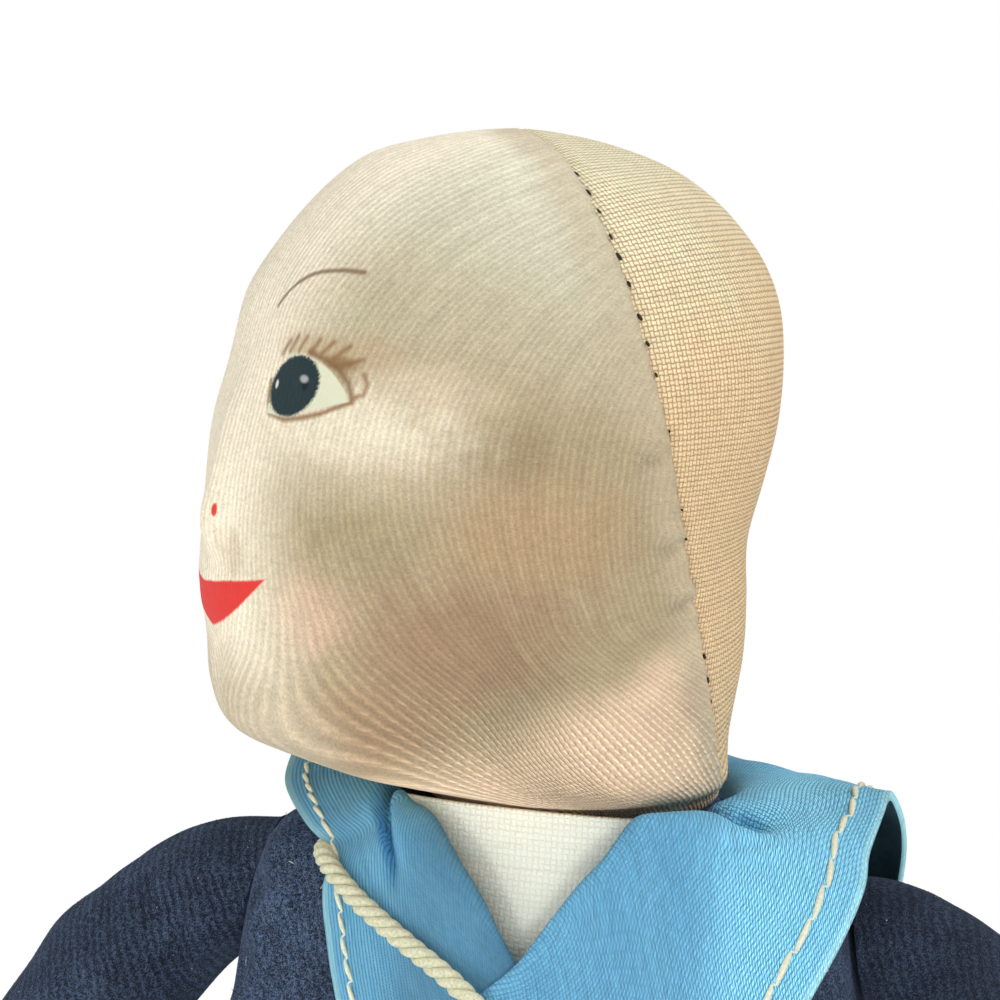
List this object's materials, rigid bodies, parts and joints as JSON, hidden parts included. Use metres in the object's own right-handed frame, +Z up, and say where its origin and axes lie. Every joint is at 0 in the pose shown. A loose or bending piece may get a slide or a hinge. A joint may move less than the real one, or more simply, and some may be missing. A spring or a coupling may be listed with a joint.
{
  "type": "cloth sailor doll",
  "caption": "Jointed cloth doll in sailor dress: moulded knitted face, wide collar with top-stitching, neck cord and velveteen body; head, arms and legs turn on disc joints.",
  "frame": {"origin": "on the floor, at the bottom centre of the standing doll's box", "axes": "+Z up, the chest faces -Y, +X is the doll's own left side"},
  "size_m": [0.2008, 0.0634, 0.3197],
  "materials": {
    "stockinette": "knitted cotton, matt",
    "calico": "plain woven cotton, matt",
    "blue_cotton": "woven cotton, matt",
    "cream_cotton": "woven cotton, matt",
    "navy_velveteen": "short pile velveteen",
    "stuffing": "loose fibre filling",
    "fibreboard": "pressed board, matt",
    "steel": "plain steel wire and sheet",
    "black_cloth": "oilcloth, dull sheen"
  },
  "bodies": {
    "torso": {"torso_cover": "navy_velveteen", "torso_stuffing": "stuffing", "dickey": "cream_cotton", "lanyard": "cream_cotton", "lanyard_knot": "cream_cotton", "collar": "blue_cotton", "neck_torso_disc": "fibreboard", "neck_torso_washer": "steel", "neck_pin": "steel", "left_shoulder_torso_disc": "fibreboard", "left_shoulder_torso_washer": "steel", "left_shoulder_pin": "steel", "left_hip_torso_disc": "fibreboard", "left_hip_torso_washer": "steel", "left_hip_pin": "steel", "right_shoulder_torso_disc": "fibreboard", "right_shoulder_torso_washer": "steel", "right_shoulder_pin": "steel", "right_hip_torso_disc": "fibreboard", "right_hip_torso_washer": "steel", "right_hip_pin": "steel"},
    "head": {"face_panel": "stockinette", "nape_panel": "calico", "head_stuffing": "stuffing", "neck_head_disc": "fibreboard", "neck_head_washer": "steel"},
    "left_arm": {"left_sleeve": "navy_velveteen", "left_arm_stuffing": "stuffing", "left_hand": "stockinette", "left_shoulder_arm_disc": "fibreboard", "left_shoulder_arm_washer": "steel"},
    "left_leg": {"left_trouser_leg": "navy_velveteen", "left_leg_stuffing": "stuffing", "left_shoe": "black_cloth", "left_sole": "black_cloth", "left_hip_leg_disc": "fibreboard", "left_hip_leg_washer": "steel"},
    "right_arm": {"right_sleeve": "navy_velveteen", "right_arm_stuffing": "stuffing", "right_hand": "stockinette", "right_shoulder_arm_disc": "fibreboard", "right_shoulder_arm_washer": "steel"},
    "right_leg": {"right_trouser_leg": "navy_velveteen", "right_leg_stuffing": "stuffing", "right_shoe": "black_cloth", "right_sole": "black_cloth", "right_hip_leg_disc": "fibreboard", "right_hip_leg_washer": "steel"}
  },
  "joints": [
    {"name": "neck_swivel", "type": "hinge", "parent": "torso", "child": "head", "pos_m": [0, 0.0056, 0.2455], "axis": [0, 0, 1], "continuous": true},
    {"name": "left_shoulder", "type": "hinge", "parent": "torso", "child": "left_arm", "pos_m": [0.0345, 0.0056, 0.2315], "axis": [-0.9781, 0, -0.2079], "continuous": true},
    {"name": "right_shoulder", "type": "hinge", "parent": "torso", "child": "right_arm", "pos_m": [-0.0345, 0.0056, 0.2315], "axis": [-0.9781, 0, 0.2079], "continuous": true},
    {"name": "left_hip", "type": "hinge", "parent": "torso", "child": "left_leg", "pos_m": [0.017, 0.0056, 0.1405], "axis": [-0.7071, 0, 0.7071], "range_deg": [-45, 100]},
    {"name": "right_hip", "type": "hinge", "parent": "torso", "child": "right_leg", "pos_m": [-0.017, 0.0056, 0.1405], "axis": [-0.7071, 0, -0.7071], "range_deg": [-45, 100]}
  ]
}
